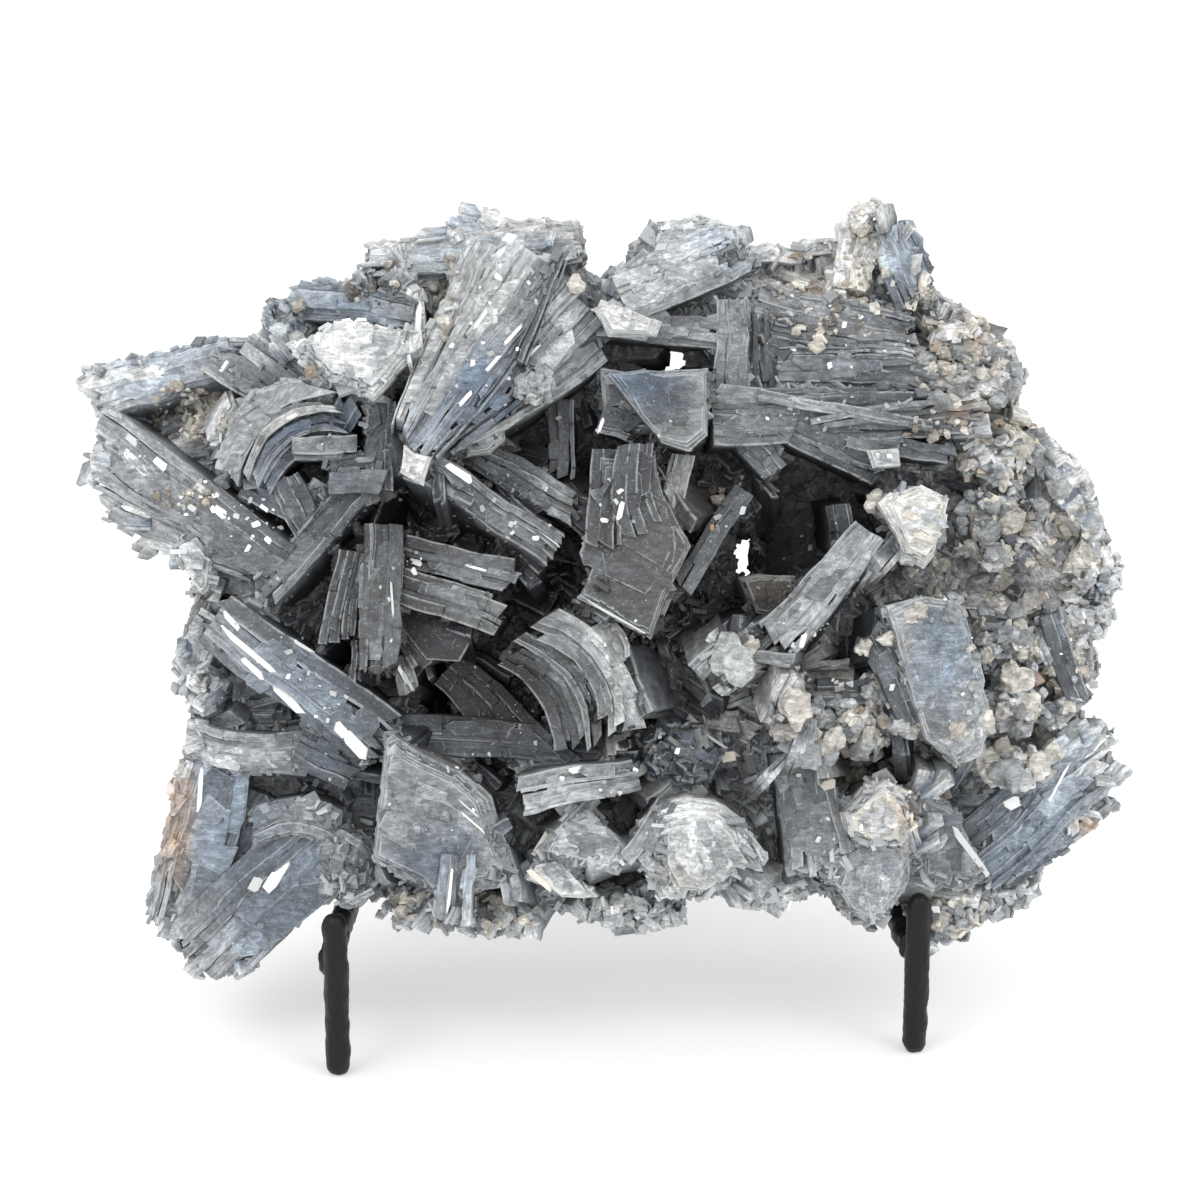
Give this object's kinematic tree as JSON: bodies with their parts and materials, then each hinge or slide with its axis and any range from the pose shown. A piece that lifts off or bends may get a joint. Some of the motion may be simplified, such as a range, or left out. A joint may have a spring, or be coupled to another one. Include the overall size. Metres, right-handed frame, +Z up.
{
  "type": "barite crystal cluster on a stand",
  "caption": "Plate of intergrown blue-grey bladed barite crystals with sandy matrix, leaning back on a black welded iron display stand.",
  "frame": {"origin": "on the floor, under the middle of the whole object's box", "axes": "+Z up; the crystal face looks towards -Y and leans back by 13 degrees; +X is to the right as seen from the front"},
  "size_m": [0.2656, 0.1312, 0.2044],
  "materials": {
    "barite": "frosted blue-grey crystal with pale rims and glassy faces",
    "black_iron": "semi-matte black coating, a little lumpy, chipped at the welds"
  },
  "bodies": {
    "root": {"barite_cluster": "barite", "front_leg_left": "black_iron", "shelf_arm_left": "black_iron", "back_upright_left": "black_iron", "front_leg_right": "black_iron", "shelf_arm_right": "black_iron", "back_upright_right": "black_iron", "cross_bar_low": "black_iron", "cross_bar_high": "black_iron", "rear_strut": "black_iron", "strut_stay": "black_iron"}
  },
  "joints": []
}
